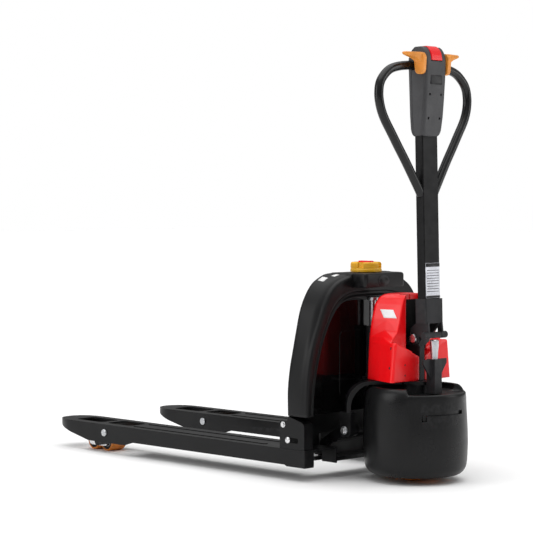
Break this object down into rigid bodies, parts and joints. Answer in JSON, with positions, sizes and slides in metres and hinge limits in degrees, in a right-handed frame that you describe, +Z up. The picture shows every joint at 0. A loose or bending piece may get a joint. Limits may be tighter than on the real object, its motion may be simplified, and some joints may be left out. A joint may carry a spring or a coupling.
{
  "type": "pallet jack",
  "caption": "Walk-behind electric pallet jack with a lithium battery cowl, a steered drive wheel, a sprung tiller and rising forks on tandem load rollers.",
  "frame": {"origin": "centre of the bounding box's base, on the floor", "axes": "+X towards the fork tips, +Y to the left seen from behind the tiller facing the forks, +Z up"},
  "size_m": [1.4868, 0.578, 1.2588],
  "materials": {
    "frame_paint": "satin black powder coat",
    "cowl_plastic": "fine grained satin black",
    "gloss_panel": "gloss black",
    "head_plastic": "grained dark grey",
    "red_plastic": "satin red",
    "orange_tread": "moulded polyurethane",
    "amber_plastic": "satin amber",
    "yellow_plastic": "satin yellow",
    "bright_steel": "turned and zinc plated",
    "cast_metal": "painted casting",
    "bare_alloy": "brushed",
    "dark_box": "moulded",
    "tube_paint": "satin black powder coat"
  },
  "bodies": {
    "chassis": {"yoke": "frame_paint", "slew_ring": "bright_steel", "lift_cylinder": "bright_steel", "rocker_pin_left": "bright_steel", "rocker_pin_right": "bright_steel"},
    "lift_frame": {"fork_left": "frame_paint", "fork_right": "frame_paint", "guard_pin_left": "bright_steel", "guard_pin_right": "bright_steel", "riser_left": "frame_paint", "riser_right": "frame_paint", "frame_wall": "frame_paint", "cross_plate": "frame_paint", "cowl": "cowl_plastic", "recess_panel": "gloss_panel", "battery_pack": "dark_box", "top_box": "cowl_plastic", "stop_ring": "yellow_plastic", "piston_rod": "bright_steel"},
    "stop_knob": {"stop_handle": "red_plastic"},
    "lever_arm_left": {"lever_left": "frame_paint"},
    "lever_arm_right": {"lever_right": "frame_paint"},
    "bogie_frame_left": {"bogie_left": "frame_paint"},
    "bogie_frame_right": {"bogie_right": "frame_paint"},
    "wheel_rear_left": {"roller_rear_left": "orange_tread"},
    "wheel_rear_right": {"roller_rear_right": "orange_tread"},
    "wheel_front_left": {"roller_front_left": "orange_tread"},
    "wheel_front_right": {"roller_front_right": "orange_tread"},
    "rod_left": {"push_rod_left": "frame_paint"},
    "rod_right": {"push_rod_right": "frame_paint"},
    "rocker_arm": {"rocker": "frame_paint"},
    "steer_unit": {"drive_cover": "cowl_plastic", "drive_bracket": "frame_paint", "gearbox": "cast_metal", "drive_motor": "cast_metal", "power_cover_left": "red_plastic", "power_cover_right": "red_plastic", "pump_motor": "cast_metal", "oil_tank": "dark_box", "controller": "dark_box", "steer_head": "frame_paint", "hinge_shaft": "bright_steel", "steer_post": "tube_paint"},
    "drive_wheel": {"drive_tyre": "orange_tread", "drive_hub": "cast_metal"},
    "strut_rod": {"plunger": "bright_steel"},
    "tiller": {"tiller_foot": "cast_metal", "tiller_tube": "tube_paint", "rating_plate": "bare_alloy", "loop_left": "tube_paint", "loop_right": "tube_paint", "head": "head_plastic"},
    "throttle": {"wing_left": "amber_plastic", "wing_right": "amber_plastic", "wing_shaft": "bright_steel"},
    "safety_pad": {"belly_button": "red_plastic"},
    "raise_key": {"raise_button": "dark_box"},
    "lower_key": {"lower_button": "dark_box"},
    "horn_key": {"horn_button": "dark_box"}
  },
  "joints": [
    {"name": "lift", "type": "slide", "parent": "chassis", "child": "lift_frame", "axis": [0, 0, 1], "range_m": [0, 0.105]},
    {"name": "stop_pull", "type": "slide", "parent": "lift_frame", "child": "stop_knob", "axis": [0, 0, 1], "range_m": [0, 0.008]},
    {"name": "lever_left_turn", "type": "hinge", "parent": "lift_frame", "child": "lever_arm_left", "pos_m": [0.32836, 0.2165, 0.066], "axis": [0, 1, 0], "range_deg": [0, 31]},
    {"name": "bogie_left_turn", "type": "hinge", "parent": "lever_arm_left", "child": "bogie_frame_left", "pos_m": [0.54536, 0.2165, 0.03], "axis": [0, 1, 0], "range_deg": [-31, 0]},
    {"name": "wheel_rear_left_spin", "type": "hinge", "parent": "bogie_frame_left", "child": "wheel_rear_left", "pos_m": [0.51336, 0.2165, 0.03], "axis": [0, 1, 0], "continuous": true},
    {"name": "wheel_front_left_spin", "type": "hinge", "parent": "bogie_frame_left", "child": "wheel_front_left", "pos_m": [0.57736, 0.2165, 0.03], "axis": [0, 1, 0], "continuous": true},
    {"name": "rod_left_travel", "type": "slide", "parent": "lift_frame", "child": "rod_left", "axis": [1, 0, 0], "range_m": [0, 0.009]},
    {"name": "lever_right_turn", "type": "hinge", "parent": "lift_frame", "child": "lever_arm_right", "pos_m": [0.32836, -0.2165, 0.066], "axis": [0, 1, 0], "range_deg": [0, 31]},
    {"name": "bogie_right_turn", "type": "hinge", "parent": "lever_arm_right", "child": "bogie_frame_right", "pos_m": [0.54536, -0.2165, 0.03], "axis": [0, 1, 0], "range_deg": [-31, 0]},
    {"name": "wheel_rear_right_spin", "type": "hinge", "parent": "bogie_frame_right", "child": "wheel_rear_right", "pos_m": [0.51336, -0.2165, 0.03], "axis": [0, 1, 0], "continuous": true},
    {"name": "wheel_front_right_spin", "type": "hinge", "parent": "bogie_frame_right", "child": "wheel_front_right", "pos_m": [0.57736, -0.2165, 0.03], "axis": [0, 1, 0], "continuous": true},
    {"name": "rod_right_travel", "type": "slide", "parent": "lift_frame", "child": "rod_right", "axis": [1, 0, 0], "range_m": [0, 0.009]},
    {"name": "rocker_turn", "type": "hinge", "parent": "chassis", "child": "rocker_arm", "pos_m": [-0.46364, 0, 0.147], "axis": [0, -1, 0], "range_deg": [0, 42]},
    {"name": "steer", "type": "hinge", "parent": "chassis", "child": "steer_unit", "pos_m": [-0.59164, 0, 0.286], "axis": [0, 0, 1], "range_deg": [-80, 80]},
    {"name": "drive_spin", "type": "hinge", "parent": "steer_unit", "child": "drive_wheel", "pos_m": [-0.59164, 0, 0.105], "axis": [0, 1, 0], "continuous": true},
    {"name": "tilt", "type": "hinge", "parent": "steer_unit", "child": "tiller", "pos_m": [-0.60664, 0, 0.415], "axis": [0, -1, 0], "range_deg": [0, 75], "stiffness_Nm_per_rad": 40, "springref_deg": -28.65},
    {"name": "strut_travel", "type": "slide", "parent": "steer_unit", "child": "strut_rod", "axis": [0, 0, -1], "range_m": [0, 0.074]},
    {"name": "throttle_turn", "type": "hinge", "parent": "tiller", "child": "throttle", "pos_m": [-0.64724, 0, 1.19433], "axis": [0, 1, 0], "range_deg": [-20, 20], "stiffness_Nm_per_rad": 1},
    {"name": "safety_press", "type": "slide", "parent": "tiller", "child": "safety_pad", "axis": [0.9997, 0, -0.0262], "range_m": [0, 0.006], "stiffness_N_per_m": 800, "springref_m": -0.002},
    {"name": "raise_press", "type": "slide", "parent": "tiller", "child": "raise_key", "axis": [-0.9997, 0, 0.0262], "range_m": [0, 0.003], "stiffness_N_per_m": 600, "springref_m": -0.001},
    {"name": "lower_press", "type": "slide", "parent": "tiller", "child": "lower_key", "axis": [-0.9997, 0, 0.0262], "range_m": [0, 0.003], "stiffness_N_per_m": 600, "springref_m": -0.001},
    {"name": "horn_press", "type": "slide", "parent": "tiller", "child": "horn_key", "axis": [-0.9997, 0, 0.0262], "range_m": [0, 0.003], "stiffness_N_per_m": 600, "springref_m": -0.001}
  ],
  "couplings": [
    {"joint": "lever_left_turn", "follows": "lift", "rad_per_m": 5.061},
    {"joint": "bogie_left_turn", "follows": "lift", "rad_per_m": -5.061},
    {"joint": "rod_left_travel", "follows": "lift", "ratio": 0.08},
    {"joint": "lever_right_turn", "follows": "lift", "rad_per_m": 5.061},
    {"joint": "bogie_right_turn", "follows": "lift", "rad_per_m": -5.061},
    {"joint": "rod_right_travel", "follows": "lift", "ratio": 0.08},
    {"joint": "rocker_turn", "follows": "lift", "rad_per_m": 6.865},
    {"joint": "strut_travel", "follows": "tilt", "m_per_rad": 0.0556}
  ]
}
